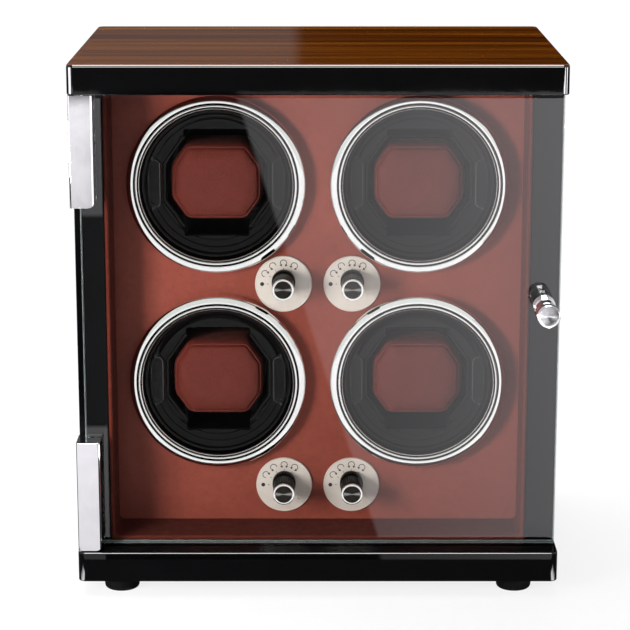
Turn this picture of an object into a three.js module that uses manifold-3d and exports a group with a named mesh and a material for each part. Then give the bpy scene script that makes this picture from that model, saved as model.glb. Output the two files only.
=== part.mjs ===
// Four-place watch winder box: a lacquered cabinet with a pivot-hung glass door, four belt-driven
// rotor cups with padded watch cushions, and one mode selector knob per rotor.
//
// Millimetres, +Z up, the door faces -Y. The origin is on the standing surface, under the middle of
// the object's overall box. Everything is drawn with y = 0 at the front face of the top board, and the
// assembly group shifts it to the origin at the end.

import * as THREE from "three";
import { mergeVertices } from "three/addons/utils/BufferGeometryUtils.js";
import Module from "manifold-3d";

const wasm = await Module();
wasm.setup();

// ---------------------------------------------------------------- driving dimensions
const GAP = 0.3; // clearance between pieces that touch
const WIDTH = 270; // top board and plinth, side to side
const DEPTH = 190; // top board and plinth, front to back
const KNOB_REACH = 15; // how far the door knob stands in front of the top board
const FOOT_H = 8;
const PLINTH_TOP = 25;
const TOP_UNDER = 283.5; // underside of the top board
const HEIGHT = 300;
const VENEER_T = 1.1;
const CORNER_R = 4; // vertical corners of top board and plinth

const BODY_HALF = 134.6; // outer face of the side panels
const INNER_HALF = 118.3; // inner face of the side panels
const SIDE_FRONT = 22; // front edge of the side panels
const LINER_T = 2.4;
const PANEL_Y0 = 53; // front face of the rotor panel
const PANEL_Y1 = 58;
const BACK_Y0 = 183;
const BACK_Y1 = 188;

const GLASS_Y0 = 14;
const GLASS_Y1 = 19;
const GLASS_X0 = -130.5;
const PIVOT_X = -129;
const PIVOT_Y = 8;
const PIN_R = 2.2;
const CLAMP_X0 = -134.7;
const CLAMP_X1 = -121.5;
const CLAMP_Y0 = 2;
const CLAMP_Y1 = 20.7;
const CLAMP_H = 61.5;

const ROTOR_X = 57.2; // rotor axes, either side of the middle
const ROTOR_Z_UP = 226.4;
const ROTOR_Z_LOW = 111.8;
const BEZEL_R = 50.6;
const CUP_R = 41.9; // front flange of the cup
const DRUM_R = 39.1;
const WINDOW = [28, 10, 18.2, 23.9]; // eight-sided window: half width, its side corner height, top corner half width, half height
const STRAP_W = 36; // strap channels above and below the window
const STRAP_HALF = 31;
const CUSHION = [27.4, 9.7, 17.8, 23.3]; // outline of the pad, in the same order as the window
const CUSHION_ROLL = 6; // rolled edge of the pad
const PAD_Y0 = 50; // front and back of the pad
const PAD_Y1 = 102.5;

const BELT_Y0 = 113.5;
const BELT_Y1 = 117.5;
const DRIVEN_R = 22; // belt groove on the cup
const DRIVER_R = 8; // belt groove on the motor pulley
const BELT_T = 1.5;
const MOTOR_X = 15; // motor axes, either side of the middle, level with their rotors
const BOARD_Y0 = 126;
const BOARD_Y1 = 131;

const SWITCH_X = 19.5;
const SWITCH_Z_UP = 170.4; // selector spindles
const SWITCH_Z_LOW = 50.8;
const PLATE_R = 16.25;
const PLATE_DROP = 2; // the spindle stands this far above the middle of its plate

const KNOB_X = 125;
const KNOB_Z = 165;
const JACK_Z = 46;

const FOOT_X = 111.5;
const FOOT_Y = [15, 172];

const ROUND = 24; // segments of a large round piece
const SMALL = 12; // segments of a small round piece

// ---------------------------------------------------------------- materials
const mat = (name, color, roughness, metalness, extra = {}) =>
  Object.assign(new THREE.MeshStandardMaterial({ color, roughness, metalness, ...extra }), { name });
const lacquer = mat("black_lacquer", 0x0b0b0d, 0.08, 0);
const veneer = mat("wood_veneer", 0x6b3410, 0.18, 0);
const leather = mat("brown_leather", 0x8a4a3c, 0.55, 0);
const cushionLeather = mat("cushion_leather", 0x8f5244, 0.6, 0);
const chrome = mat("chrome", 0xe4e4e6, 0.08, 1);
const blackGloss = mat("black_gloss_plastic", 0x0e0d0c, 0.12, 0);
const knobBlack = mat("knob_black", 0x15120f, 0.3, 0.4);
const plateMetal = mat("dial_plate", 0xe9d9c8, 0.4, 0.6);
const rubber = mat("rubber", 0x121212, 0.8, 0);
const steel = mat("steel", 0xb8b8b8, 0.35, 1);
const bronze = mat("bronze_bush", 0xa9793c, 0.4, 1);
const mdf = mat("mdf", 0x2b2420, 0.8, 0);
const pcb = mat("circuit_board", 0x1d5a32, 0.5, 0);
const plasticBlack = mat("black_plastic", 0x181818, 0.6, 0);
const glass = mat("door_glass", 0xdfe8e8, 0.02, 0, { transparent: true, opacity: 0.25 });

// ---------------------------------------------------------------- solid helpers
function toSolid(geometry) {
  const g = geometry.index ? geometry.clone() : geometry;
  const bare = new THREE.BufferGeometry().setAttribute("position", g.getAttribute("position").clone());
  if (g.index) bare.setIndex(g.index.clone());
  const merged = mergeVertices(bare, 1e-3);
  const tri = [];
  const ix = merged.index.array;
  for (let i = 0; i < ix.length; i += 3)
    if (ix[i] !== ix[i + 1] && ix[i + 1] !== ix[i + 2] && ix[i] !== ix[i + 2]) tri.push(ix[i], ix[i + 1], ix[i + 2]);
  const p = merged.attributes.position.array;
  let six = 0;
  for (let i = 0; i < tri.length; i += 3) {
    const [a, b, c] = [tri[i] * 3, tri[i + 1] * 3, tri[i + 2] * 3];
    six +=
      p[a] * (p[b + 1] * p[c + 2] - p[b + 2] * p[c + 1]) -
      p[a + 1] * (p[b] * p[c + 2] - p[b + 2] * p[c]) +
      p[a + 2] * (p[b] * p[c + 1] - p[b + 1] * p[c]);
  }
  if (six < 0) for (let i = 0; i < tri.length; i += 3) [tri[i + 1], tri[i + 2]] = [tri[i + 2], tri[i + 1]];
  return new wasm.Manifold(
    new wasm.Mesh({ numProp: 3, vertProperties: new Float32Array(p), triVerts: new Uint32Array(tri) }),
  );
}

function toGeometry(solid) {
  const m = solid.getMesh();
  const v = new Float32Array(m.numVert * 3);
  for (let i = 0; i < m.numVert; i++) v.set(m.vertProperties.subarray(i * m.numProp, i * m.numProp + 3), i * 3);
  const g = new THREE.BufferGeometry()
    .setAttribute("position", new THREE.BufferAttribute(v, 3))
    .setIndex(new THREE.BufferAttribute(new Uint32Array(m.triVerts), 1));
  g.computeVertexNormals();
  return g;
}

// A box from its corners.
function box(x0, x1, y0, y1, z0, z1) {
  return toSolid(
    new THREE.BoxGeometry(x1 - x0, y1 - y0, z1 - z0).translate((x0 + x1) / 2, (y0 + y1) / 2, (z0 + z1) / 2),
  );
}

// A lathe about the Y axis through (x, z): profile is [radius, y] pairs.
function turned(profile, segments, x = 0, z = 0, turn = 0) {
  const pts = profile.map(([r, y]) => new THREE.Vector2(r, y));
  return toSolid(new THREE.LatheGeometry(pts, segments).rotateY(turn).translate(x, 0, z));
}

// A closed ring about the Y axis: the profile closes on itself.
function ring(profile, segments, x = 0, z = 0) {
  return turned([...profile, profile[0]], segments, x, z);
}

// A plain cylinder along Y.
function rod(r, y0, y1, segments, x = 0, z = 0) {
  return turned([[0, y0], [r, y0], [r, y1], [0, y1]], segments, x, z);
}

// A lathe about the Z axis through (x, y): profile is [radius, z] pairs.
function turnedZ(profile, segments, x = 0, y = 0) {
  const pts = profile.map(([r, h]) => new THREE.Vector2(r, h));
  return toSolid(new THREE.LatheGeometry(pts, segments).rotateX(Math.PI / 2).translate(x, y, 0));
}

// An outline of [x, z] points in the front plane, extruded from y0 to y1.
function frontExtrude(points, y0, y1, x = 0, z = 0) {
  const s = new THREE.Shape(points.map(([a, b]) => new THREE.Vector2(a, b)));
  const g = new THREE.ExtrudeGeometry(s, { depth: y1 - y0, bevelEnabled: false, curveSegments: 6 });
  return toSolid(g.rotateX(Math.PI / 2).translate(x, y1, z));
}

// An outline of [x, y] points in plan, extruded from z0 to z1.
function planExtrude(points, z0, z1) {
  const s = new THREE.Shape(points.map(([a, b]) => new THREE.Vector2(a, b)));
  return toSolid(new THREE.ExtrudeGeometry(s, { depth: z1 - z0, bevelEnabled: false }).translate(0, 0, z0));
}

// Points of a rectangle whose corners have the radii [lower left, lower right, upper right, upper left].
function rounded(x0, x1, y0, y1, radii, steps = 4) {
  const corners = [
    [x0, y0, radii[0], Math.PI],
    [x1, y0, radii[1], Math.PI * 1.5],
    [x1, y1, radii[2], 0],
    [x0, y1, radii[3], Math.PI / 2],
  ];
  const out = [];
  for (const [cx, cy, r, start] of corners) {
    if (r <= 0) {
      out.push([cx, cy]);
      continue;
    }
    const mx = cx + (cx === x0 ? r : -r);
    const my = cy + (cy === y0 ? r : -r);
    for (let i = 0; i <= steps; i++) {
      const a = start + (i / steps) * (Math.PI / 2);
      out.push([mx + r * Math.cos(a), my + r * Math.sin(a)]);
    }
  }
  return out;
}

// Eight-sided outline from [half width, side corner height, top corner half width, half height].
function eightSided([w, sideZ, topX, h]) {
  return [[w, -sideZ], [w, sideZ], [topX, h], [-topX, h], [-w, sideZ], [-w, -sideZ], [-topX, -h], [topX, -h]];
}

// ---------------------------------------------------------------- scene graph
const assembly = new THREE.Group();
const cabinet = new THREE.Group();
const door = new THREE.Group();
const movement = new THREE.Group();
const controls = new THREE.Group();
assembly.add(cabinet, door, movement, controls);

function put(group, name, solid, material) {
  const mesh = new THREE.Mesh(toGeometry(solid), material);
  mesh.name = name;
  group.add(mesh);
  return mesh;
}

const places = [
  ["upper_left", -1, ROTOR_Z_UP, SWITCH_Z_UP],
  ["upper_right", 1, ROTOR_Z_UP, SWITCH_Z_UP],
  ["lower_left", -1, ROTOR_Z_LOW, SWITCH_Z_LOW],
  ["lower_right", 1, ROTOR_Z_LOW, SWITCH_Z_LOW],
];

// ---------------------------------------------------------------- cabinet
const slab = rounded(-WIDTH / 2, WIDTH / 2, 0, DEPTH, [CORNER_R, CORNER_R, CORNER_R, CORNER_R], 4);
const pivotBore = (z0, z1) => turnedZ([[0, z0], [PIN_R + GAP, z0], [PIN_R + GAP, z1], [0, z1]], SMALL, PIVOT_X, PIVOT_Y);

put(cabinet, "base_plinth", planExtrude(slab, FOOT_H, PLINTH_TOP).subtract(pivotBore(15, PLINTH_TOP + 1)), lacquer);
put(
  cabinet,
  "top_board",
  planExtrude(slab, TOP_UNDER, HEIGHT - VENEER_T - GAP).subtract(pivotBore(TOP_UNDER - 1, 293)),
  lacquer,
);
put(
  cabinet,
  "top_veneer",
  planExtrude(
    rounded(-WIDTH / 2 + 0.8, WIDTH / 2 - 0.8, 0.8, DEPTH - 0.8, [CORNER_R, CORNER_R, CORNER_R, CORNER_R].map((r) => r - 0.8), 4),
    HEIGHT - VENEER_T,
    HEIGHT,
  ),
  veneer,
);

const z0 = PLINTH_TOP + GAP;
const z1 = TOP_UNDER - GAP;
put(cabinet, "side_panel_left", box(-BODY_HALF, -INNER_HALF, SIDE_FRONT, DEPTH, z0, z1), lacquer);
put(
  cabinet,
  "side_panel_right",
  box(INNER_HALF, BODY_HALF, SIDE_FRONT, DEPTH, z0, z1).subtract(rod(4.8, SIDE_FRONT - 1, 30.3, SMALL, KNOB_X + 1.5, KNOB_Z)),
  lacquer,
);
put(cabinet, "magnet_catch", rod(4.5, SIDE_FRONT, 30, SMALL, KNOB_X + 1.5, KNOB_Z), steel);

const wide = INNER_HALF - GAP;
put(
  cabinet,
  "recess_liner",
  box(-wide, wide, SIDE_FRONT, PANEL_Y0 - GAP, z0, z1).subtract(
    box(-wide + LINER_T, wide - LINER_T, SIDE_FRONT - 1, PANEL_Y0 + 1, z0 + LINER_T - 0.3, z1 - LINER_T),
  ),
  leather,
);

let panel = box(-wide, wide, PANEL_Y0, PANEL_Y1, z0, z1);
for (const [, side, rz, sz] of places) {
  panel = panel.subtract(rod(46.1, PANEL_Y0 - 1, PANEL_Y1 + 1, ROUND, side * ROTOR_X, rz));
  panel = panel.subtract(rod(4.2, PANEL_Y0 - 1, PANEL_Y1 + 1, SMALL, side * SWITCH_X, sz));
}
put(cabinet, "rotor_panel", panel, leather);

let back = box(-wide, wide, BACK_Y0, BACK_Y1, z0, z1).subtract(rod(5.3, BACK_Y0 - 1, BACK_Y1 + 1, SMALL, 0, JACK_Z));
for (let i = 0; i < 5; i++) back = back.subtract(box(-35, 35, BACK_Y0 - 1, BACK_Y1 + 1, 214 + i * 9, 217.5 + i * 9));
put(cabinet, "back_panel", back, mdf);

// Power inlet: a panel-mounted barrel socket, open at the back.
put(
  cabinet,
  "power_socket",
  turned(
    [[0, 171], [5, 171], [5, BACK_Y1 + GAP], [7.5, BACK_Y1 + GAP], [7.5, DEPTH - 0.2], [3.4, DEPTH - 0.2], [3.4, 178], [1, 178], [1, 187], [0, 187]],
    SMALL,
    0,
    JACK_Z,
  ),
  plasticBlack,
);

for (const [end, y] of [["front", FOOT_Y[0]], ["back", FOOT_Y[1]]])
  for (const [side, s] of [["left", -1], ["right", 1]])
    put(
      cabinet,
      `foot_${end}_${side}`,
      turnedZ([[0, 0], [7.8, 0], [9.7, 1.5], [10.4, FOOT_H - GAP], [0, FOOT_H - GAP]], 16, s * FOOT_X, y),
      rubber,
    );

// Board behind the rotors that carries the four bearings and the four geared motors.
let board = box(-wide, wide, BOARD_Y0, BOARD_Y1, z0, z1);
for (const [, side, rz] of places) {
  board = board.subtract(rod(8.3, BOARD_Y0 - 1, BOARD_Y1 + 1, SMALL, side * ROTOR_X, rz));
  board = board.subtract(rod(5, BOARD_Y0 - 1, BOARD_Y1 + 1, SMALL, side * MOTOR_X, rz));
}
put(cabinet, "motor_board", board, mdf);

// ---------------------------------------------------------------- rotors and their drives
const cupOuter = [
  [0, 49], [CUP_R, 49], [CUP_R, 52.5], [DRUM_R, 54], [DRUM_R, 108], [24, 109], [24, 111.5], [DRIVEN_R, 112.6],
  [DRIVEN_R, 118.4], [24, 119.5], [24, 121], [4, 121], [4, 142], [0, 142],
];
const cupFunnel = [[0, 48], [40.5, 48], [39.9, 51], [35.5, 54.2], [31, 57], [0, 57]];
const grip = rounded(-4, 4, -14, 14, [4, 4, 4, 4], 2);

for (const [place, side, rz, sz] of places) {
  const rx = side * ROTOR_X;

  // Trim ring pressed into the panel, with a tube that lines the hole.
  put(
    movement,
    `bezel_ring_${place}`,
    ring(
      [[BEZEL_R, 52.7], [BEZEL_R, 49.5], [48.8, 44.8], [46.9, 43.6], [44.8, 44.2], [42.9, 45.2], [42.9, 58], [45.7, 58], [45.7, 52.7]],
      ROUND,
      rx,
      rz,
    ),
    chrome,
  );

  // Rotor cup: front flange, funnel, eight-sided pocket with strap channels, belt groove and shaft in one moulding.
  let cup = turned(cupOuter, ROUND, rx, rz);
  cup = cup.subtract(turned(cupFunnel, ROUND, rx, rz));
  for (const s of [-1, 1]) cup = cup.add(frontExtrude(grip, 49.2, 55.5, rx + s * 35, rz));
  cup = cup.subtract(frontExtrude(eightSided(WINDOW), 40, 104, rx, rz));
  cup = cup.subtract(box(rx - STRAP_W / 2, rx + STRAP_W / 2, 49.9, 104, rz - STRAP_HALF, rz + STRAP_HALF));
  put(movement, `rotor_cup_${place}`, cup, blackGloss);

  // Watch cushion: an eight-sided pad with rolled edges at the front and the back.
  const pad = new THREE.ExtrudeGeometry(new THREE.Shape(eightSided(CUSHION).map(([a, b]) => new THREE.Vector2(a, b))), {
    depth: PAD_Y1 - PAD_Y0 - 2 * CUSHION_ROLL,
    bevelEnabled: true,
    bevelThickness: CUSHION_ROLL,
    bevelSize: CUSHION_ROLL,
    bevelOffset: -CUSHION_ROLL,
    bevelSegments: 3,
  });
  put(
    movement,
    `watch_cushion_${place}`,
    toSolid(pad.rotateX(Math.PI / 2).translate(rx, PAD_Y1 - CUSHION_ROLL, rz)),
    cushionLeather,
  );

  // Flanged bush in the motor board.
  put(
    movement,
    `shaft_bush_${place}`,
    ring([[4.3, 124], [10.5, 124], [10.5, 125.7], [8, 125.7], [8, 134], [4.3, 134]], SMALL, rx, rz),
    bronze,
  );

  // Geared motor behind the board, with a blind bore for its output shaft.
  const mx = side * MOTOR_X;
  put(
    movement,
    `gear_motor_${place}`,
    turned(
      [[0, 140], [2.4, 140], [2.4, 127], [4.7, 127], [4.7, BOARD_Y1 + GAP], [12, BOARD_Y1 + GAP], [12, 152], [10, 152], [10, 174], [0, 176]],
      SMALL,
      mx,
      rz,
    ),
    steel,
  );

  // Pulley on the motor's output shaft.
  put(
    movement,
    `motor_pulley_${place}`,
    turned(
      [[0, 111], [10, 111], [10, 112], [DRIVER_R, 112.8], [DRIVER_R, 118.2], [10, 119], [10, 120], [4, 121], [4, 124], [2, 124], [2, 139], [0, 139]],
      SMALL,
      mx,
      rz,
    ),
    plasticBlack,
  );

  // Rubber belt round both pulleys.
  const centre = Math.abs(ROTOR_X - MOTOR_X);
  const loop = (extra) => {
    const ra = DRIVEN_R + extra;
    const rb = DRIVER_R + extra;
    const lean = Math.acos((ra - rb) / centre); // where the straight runs leave each circle
    const toward = side > 0 ? Math.PI : 0; // the motor lies towards the middle of the box
    const pts = [];
    const n = 12;
    for (let i = 0; i <= n; i++) {
      const a = toward + lean + (i / n) * (2 * Math.PI - 2 * lean);
      pts.push([ra * Math.cos(a), ra * Math.sin(a)]);
    }
    const m = 6;
    for (let i = 0; i <= m; i++) {
      const a = toward - lean + (i / m) * 2 * lean;
      pts.push([centre * Math.cos(toward) + rb * Math.cos(a), rb * Math.sin(a)]);
    }
    return pts;
  };
  put(
    movement,
    `drive_belt_${place}`,
    frontExtrude(loop(0.5 + BELT_T), BELT_Y0, BELT_Y1, rx, rz).subtract(frontExtrude(loop(0.5), BELT_Y0 - 1, BELT_Y1 + 1, rx, rz)),
    rubber,
  );

  // Dial plate and mode selector knob with its spindle.
  const sx = side * SWITCH_X;
  put(
    controls,
    `dial_plate_${place}`,
    rod(PLATE_R, 51.3, 52.7, ROUND, sx, sz - PLATE_DROP).subtract(rod(3.6, 50, 54, SMALL, sx, sz)),
    plateMetal,
  );
  put(
    controls,
    `selector_knob_${place}`,
    turned([[0, 26.4], [5.2, 26.4], [6.1, 27.4], [6.3, 44], [6.7, 45], [6.7, 50.8], [2.8, 50.8], [2.8, 64], [0, 64]], 16, sx, sz),
    knobBlack,
  );
}

// Two circuit boards, each with a pair of rotary switches behind the panel.
for (const [row, sz] of [["upper", SWITCH_Z_UP], ["lower", SWITCH_Z_LOW]]) {
  let b = box(-33, 33, 66, 67.6, sz - 13, sz + 13);
  for (const s of [-1, 1]) {
    const sx = s * SWITCH_X;
    b = b.add(box(sx - 7, sx + 7, 59, 66.2, sz - 7, sz + 7)).subtract(rod(3.1, 58, 64.4, SMALL, sx, sz));
  }
  put(controls, `switch_board_${row}`, b, pcb);
}

// ---------------------------------------------------------------- door
const gz0 = PLINTH_TOP + 0.9;
const gz1 = TOP_UNDER - 0.9;
put(
  door,
  "door_glass",
  box(GLASS_X0, BODY_HALF - 0.5, GLASS_Y0, GLASS_Y1, gz0, gz1).subtract(rod(2.2, GLASS_Y0 - 1, GLASS_Y1 + 1, SMALL, KNOB_X, KNOB_Z)),
  glass,
);

// Clamps that grip the glass edge, with a blind bore at the outer end for the pivot pin.
const clampPlan = rounded(CLAMP_X0, CLAMP_X1, CLAMP_Y0, CLAMP_Y1, [1, 1, 0.6, 2.4], 3);
const cornerR = 3.2; // lower free corner of each clamp
const cornerCutter = (lo) =>
  frontExtrude(
    [
      [CLAMP_X1 + 1, lo - 1],
      [CLAMP_X1 + 1, lo + cornerR],
      ...Array.from({ length: 6 }, (_, i) => {
        const a = (-i / 5) * (Math.PI / 2);
        return [CLAMP_X1 - cornerR + cornerR * Math.cos(a), lo + cornerR + cornerR * Math.sin(a)];
      }),
      [CLAMP_X1 - cornerR, lo - 1],
    ],
    CLAMP_Y0 - 1,
    CLAMP_Y1 + 1,
  );
for (const [end, lo, hi] of [["top", TOP_UNDER - 0.5 - CLAMP_H, TOP_UNDER - 0.5], ["bottom", PLINTH_TOP + 0.5, PLINTH_TOP + 0.5 + CLAMP_H + 1.5]]) {
  const top = end === "top";
  const boreEnd = top ? hi - 12 : lo + 12;
  const clamp = planExtrude(clampPlan, lo, hi)
    .subtract(box(GLASS_X0 - GAP, CLAMP_X1 + 1, GLASS_Y0 - GAP, GLASS_Y1 + GAP, lo - 1, hi + 1))
    .subtract(cornerCutter(lo))
    .subtract(top ? pivotBore(boreEnd, hi + 1) : pivotBore(lo - 1, boreEnd));
  put(door, `hinge_clamp_${end}`, clamp, chrome);
  const p0 = top ? boreEnd + GAP : 15.5;
  const p1 = top ? 292.5 : boreEnd - GAP;
  put(door, `hinge_pin_${end}`, turnedZ([[0, p0], [PIN_R, p0], [PIN_R, p1], [0, p1]], SMALL, PIVOT_X, PIVOT_Y), steel);
}

// Door knob and the screw that holds it through the glass.
put(
  door,
  "door_knob",
  turned(
    [
      [0, -14.4], [5.6, -15], [6.4, -14.2], [6.4, -8.5], [5.9, -8], [5.9, -7.2], [6.2, -6.6], [6.2, -4], [5.2, -1.5],
      [5.2, 9.5], [5.6, 10], [5.6, GLASS_Y0 - GAP], [2, GLASS_Y0 - GAP], [2, 3], [0, 3],
    ],
    16,
    KNOB_X,
    KNOB_Z,
  ),
  chrome,
);
put(
  door,
  "knob_screw",
  turned([[0, 4], [1.7, 4], [1.7, GLASS_Y1 + GAP], [4, GLASS_Y1 + GAP], [4, 20.9], [3.4, 21.4], [0, 21.4]], SMALL, KNOB_X, KNOB_Z),
  steel,
);

// ---------------------------------------------------------------- the part's own frame
assembly.position.set(0, -(DEPTH - KNOB_REACH) / 2, 0);
const winder = new THREE.Group();
winder.add(assembly);
export default winder;
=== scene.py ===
"""Looks of the watch winder box: fine surfaces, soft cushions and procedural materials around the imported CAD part."""

import math

import bmesh
import bpy
from mathutils import Matrix, Vector


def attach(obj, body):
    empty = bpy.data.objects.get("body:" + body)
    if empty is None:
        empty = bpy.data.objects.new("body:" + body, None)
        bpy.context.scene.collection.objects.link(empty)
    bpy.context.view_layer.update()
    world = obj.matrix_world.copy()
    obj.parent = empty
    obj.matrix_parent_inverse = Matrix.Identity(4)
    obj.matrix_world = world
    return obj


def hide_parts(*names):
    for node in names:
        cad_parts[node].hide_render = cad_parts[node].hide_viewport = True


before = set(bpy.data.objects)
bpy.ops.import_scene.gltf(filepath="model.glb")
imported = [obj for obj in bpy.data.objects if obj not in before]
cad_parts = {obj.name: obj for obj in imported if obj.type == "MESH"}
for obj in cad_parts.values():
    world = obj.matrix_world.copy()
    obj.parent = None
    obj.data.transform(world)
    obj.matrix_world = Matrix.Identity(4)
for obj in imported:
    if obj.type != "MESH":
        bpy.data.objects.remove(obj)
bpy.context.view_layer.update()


MM = 0.001
OY = -87.5  # millimetres: the top board's front face in the row frame
PLACES = {
    "upper_left": (-1, 226.4, 170.4),
    "upper_right": (1, 226.4, 170.4),
    "lower_left": (-1, 111.8, 50.8),
    "lower_right": (1, 111.8, 50.8),
}
ROTOR_X, SWITCH_X = 57.2, 19.5
PLATE_DROP = 2.0  # the selector spindle stands this far above the middle of its plate

scene = bpy.context.scene
scene.view_settings.view_transform = "Standard"
scene.view_settings.look = "None"


# ------------------------------------------------------------------ node helpers
class Nodes:
    """A short way to write a material's node tree."""

    def __init__(self, name):
        self.mat = bpy.data.materials.new(name)
        self.mat.use_nodes = True
        self.nt = self.mat.node_tree
        self.nt.nodes.clear()
        self.out = self.nt.nodes.new("ShaderNodeOutputMaterial")
        self.coord = self.nt.nodes.new("ShaderNodeTexCoord").outputs["Object"]

    def node(self, kind, **settings):
        n = self.nt.nodes.new(kind)
        for key, value in settings.items():
            setattr(n, key, value)
        return n

    def link(self, a, b):
        self.nt.links.new(a, b)

    def put(self, socket, value):
        if isinstance(value, bpy.types.NodeSocket):
            self.link(value, socket)
        else:
            socket.default_value = value

    def scaled(self, scale, coord=None, rotation=(0, 0, 0), location=(0, 0, 0)):
        m = self.node("ShaderNodeMapping")
        m.inputs["Scale"].default_value = scale
        m.inputs["Rotation"].default_value = rotation
        m.inputs["Location"].default_value = location
        self.link(coord or self.coord, m.inputs["Vector"])
        return m.outputs[0]

    def noise(self, scale, detail=4, rough=0.5, coord=None, distortion=0.0, out="Fac"):
        n = self.node("ShaderNodeTexNoise")
        n.inputs["Scale"].default_value = scale
        n.inputs["Detail"].default_value = detail
        n.inputs["Roughness"].default_value = rough
        n.inputs["Distortion"].default_value = distortion
        self.link(coord or self.coord, n.inputs["Vector"])
        return n.outputs[out]

    def voronoi(self, scale, feature="F1", coord=None, out="Distance", randomness=1.0):
        n = self.node("ShaderNodeTexVoronoi", feature=feature)
        n.inputs["Scale"].default_value = scale
        n.inputs["Randomness"].default_value = randomness
        self.link(coord or self.coord, n.inputs["Vector"])
        return n.outputs[out]

    def ramp(self, fac, stops, mode="LINEAR"):
        n = self.node("ShaderNodeValToRGB")
        n.color_ramp.interpolation = mode
        els = n.color_ramp.elements
        while len(els) < len(stops):
            els.new(0.5)
        for el, (pos, col) in zip(els, stops):
            el.position = pos
            el.color = (*col, 1) if len(col) == 3 else col
        self.link(fac, n.inputs["Fac"])
        return n.outputs["Color"]

    def range(self, fac, lo, hi, a=0.0, b=1.0):
        n = self.node("ShaderNodeMapRange")
        n.inputs["From Min"].default_value = a
        n.inputs["From Max"].default_value = b
        n.inputs["To Min"].default_value = lo
        n.inputs["To Max"].default_value = hi
        self.link(fac, n.inputs["Value"])
        return n.outputs[0]

    def math(self, op, a, b=0.0, c=0.0):
        n = self.node("ShaderNodeMath", operation=op)
        for s, v in zip(n.inputs, (a, b, c)):
            self.put(s, v)
        return n.outputs[0]

    def mix(self, fac, a, b, blend="MIX"):
        n = self.node("ShaderNodeMix", data_type="RGBA", blend_type=blend)
        self.put(n.inputs["Factor"], fac)
        self.put(n.inputs["A"], a if not isinstance(a, tuple) or len(a) == 4 else (*a, 1))
        self.put(n.inputs["B"], b if not isinstance(b, tuple) or len(b) == 4 else (*b, 1))
        return n.outputs["Result"]

    def bump(self, height, strength, distance, normal=None):
        n = self.node("ShaderNodeBump")
        n.inputs["Strength"].default_value = strength
        n.inputs["Distance"].default_value = distance
        self.link(height, n.inputs["Height"])
        if normal:
            self.link(normal, n.inputs["Normal"])
        return n.outputs[0]

    def principled(self, **values):
        n = self.node("ShaderNodeBsdfPrincipled")
        for key, value in values.items():
            s = n.inputs[key]
            if isinstance(value, tuple) and len(value) == 3 and s.type == "RGBA":
                value = (*value, 1)
            self.put(s, value)
        return n

    def finish(self, shader):
        self.link(shader.outputs[0] if hasattr(shader, "outputs") else shader, self.out.inputs["Surface"])
        return self.mat


# ------------------------------------------------------------------ materials
def make_lacquer(name="black_lacquer", dull_front=False):
    """Polished black lacquer. With dull_front, faces that look forward are rubbed down and mirror less."""
    n = Nodes(name)
    smudge = n.noise(28, 5, 0.62, distortion=0.6)
    fine = n.noise(900, 2, 0.5)
    colour = n.mix(n.range(smudge, 0.0, 1.0, 0.35, 0.7), (0.0010, 0.0010, 0.0012), (0.0018, 0.0018, 0.0021))
    rough = n.math("ADD", n.range(smudge, 0.012, 0.040, 0.3, 0.75), n.range(fine, 0.0, 0.008))
    peel = n.noise(260, 2, 0.4)
    s = n.principled(**{"Base Color": colour, "Roughness": rough, "IOR": 1.5, "Specular IOR Level": 0.42})
    n.link(n.bump(peel, 0.016, 0.0002), s.inputs["Normal"])
    if not dull_front:
        return n.finish(s)
    rubbed = n.principled(**{"Base Color": colour, "Roughness": n.range(fine, 0.10, 0.16), "IOR": 1.5, "Specular IOR Level": 0.10})
    geo = n.node("ShaderNodeNewGeometry")
    sep = n.node("ShaderNodeSeparateXYZ")
    n.link(geo.outputs["True Normal"], sep.inputs[0])
    mix = n.node("ShaderNodeMixShader")
    n.link(n.math("LESS_THAN", sep.outputs["Y"], -0.9), mix.inputs[0])
    n.link(s.outputs[0], mix.inputs[1])
    n.link(rubbed.outputs[0], mix.inputs[2])
    return n.finish(mix.outputs[0])


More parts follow.
